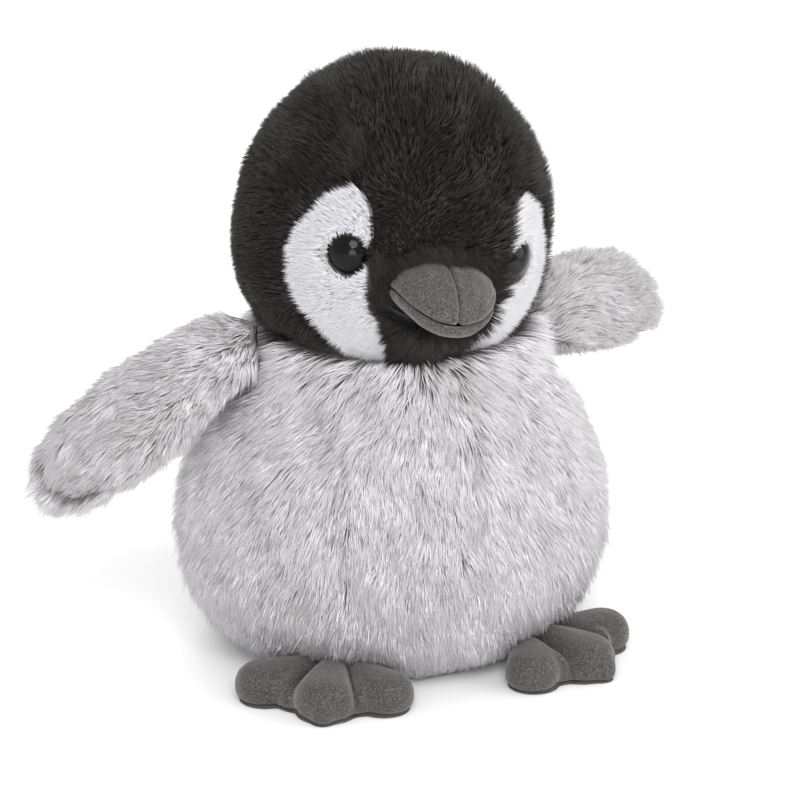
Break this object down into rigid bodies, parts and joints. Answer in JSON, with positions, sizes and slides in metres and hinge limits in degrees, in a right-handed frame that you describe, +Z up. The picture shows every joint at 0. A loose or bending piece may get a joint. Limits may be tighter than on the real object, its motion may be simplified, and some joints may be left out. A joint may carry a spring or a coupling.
{
  "type": "plush penguin",
  "caption": "Sitting soft toy penguin chick with a hooded head, round furry body, spread flippers, padded beak and webbed feet; head, flippers, feet and tail flex.",
  "frame": {"origin": "centre of the flat base the toy sits on, at the level of the surface under it", "axes": "+Z up, the penguin faces -Y, its own right side is -X"},
  "size_m": [0.2039, 0.1289, 0.176],
  "materials": {
    "grey_plush": "long frosted faux fur, pale tips over brown-grey roots",
    "black_plush": "short dense warm black plush",
    "white_plush": "short dense cool white plush",
    "grey_suede": "brushed dark grey suede knit",
    "eye_plastic": "polished brown-black moulded dome",
    "washer_plastic": "natural white moulded lock washer",
    "fibre_fill": "loose white polyester fibre",
    "pellet_cloth": "plain woven lining cloth",
    "thread": "dark polyester thread",
    "label_satin": "blank satin ribbon"
  },
  "bodies": {
    "torso": {"body_front_panel": "grey_plush", "body_back_panel_left": "grey_plush", "body_back_panel_right": "grey_plush", "body_base_panel": "grey_plush", "body_stuffing": "fibre_fill", "pellet_bag": "pellet_cloth", "closing_thread": "thread", "care_label": "label_satin"},
    "neck": {"neck_stuffing": "fibre_fill"},
    "head": {"head_gusset": "black_plush", "head_side_left": "black_plush", "head_side_right": "black_plush", "chin_panel": "black_plush", "face_patch_left": "white_plush", "face_patch_right": "white_plush", "head_stuffing": "fibre_fill", "eye_left": "eye_plastic", "eye_right": "eye_plastic", "eye_washer_left": "washer_plastic", "eye_washer_right": "washer_plastic", "beak_upper_left": "grey_suede", "beak_upper_right": "grey_suede", "beak_lower": "grey_suede", "beak_stuffing": "fibre_fill"},
    "flipper_left": {"flipper_outer_left": "grey_plush", "flipper_inner_left": "grey_plush", "flipper_stuffing_left": "fibre_fill"},
    "flipper_right": {"flipper_outer_right": "grey_plush", "flipper_inner_right": "grey_plush", "flipper_stuffing_right": "fibre_fill"},
    "foot_left": {"foot_upper_left": "grey_suede", "foot_sole_left": "grey_suede", "foot_stuffing_left": "fibre_fill", "toe_thread_inner_left": "thread", "toe_thread_outer_left": "thread"},
    "foot_right": {"foot_upper_right": "grey_suede", "foot_sole_right": "grey_suede", "foot_stuffing_right": "fibre_fill", "toe_thread_inner_right": "thread", "toe_thread_outer_right": "thread"},
    "tail": {"tail_upper": "grey_plush", "tail_under": "grey_plush", "tail_stuffing": "fibre_fill"}
  },
  "joints": [
    {"name": "head_turn", "type": "hinge", "parent": "torso", "child": "neck", "pos_m": [0, 0, 0.132], "axis": [0, 0, 1], "range_deg": [-35, 35], "stiffness_Nm_per_rad": 0.2},
    {"name": "head_nod", "type": "hinge", "parent": "neck", "child": "head", "pos_m": [0, 0, 0.132], "axis": [0.9877, 0, -0.1564], "range_deg": [-12, 9], "stiffness_Nm_per_rad": 0.2},
    {"name": "flipper_right_lift", "type": "hinge", "parent": "torso", "child": "flipper_right", "pos_m": [-0.05, 0.002, 0.0945], "axis": [0.1392, 0.9903, 0], "range_deg": [-2, 75], "stiffness_Nm_per_rad": 0.1},
    {"name": "flipper_left_lift", "type": "hinge", "parent": "torso", "child": "flipper_left", "pos_m": [0.0475, 0.003, 0.0905], "axis": [0.6428, -0.766, 0], "range_deg": [-15, 55], "stiffness_Nm_per_rad": 0.1},
    {"name": "foot_right_flex", "type": "hinge", "parent": "torso", "child": "foot_right", "pos_m": [-0.02986, -0.0319, 0.001], "axis": [-0.848, 0.5299, 0], "range_deg": [-30, 4], "stiffness_Nm_per_rad": 0.05},
    {"name": "foot_left_flex", "type": "hinge", "parent": "torso", "child": "foot_left", "pos_m": [0.02986, -0.0319, 0.001], "axis": [-0.848, -0.5299, 0], "range_deg": [-30, 4], "stiffness_Nm_per_rad": 0.05},
    {"name": "tail_wag", "type": "hinge", "parent": "torso", "child": "tail", "pos_m": [0, 0.0522, 0.015], "axis": [1, 0, 0], "range_deg": [-12, 20], "stiffness_Nm_per_rad": 0.03}
  ]
}
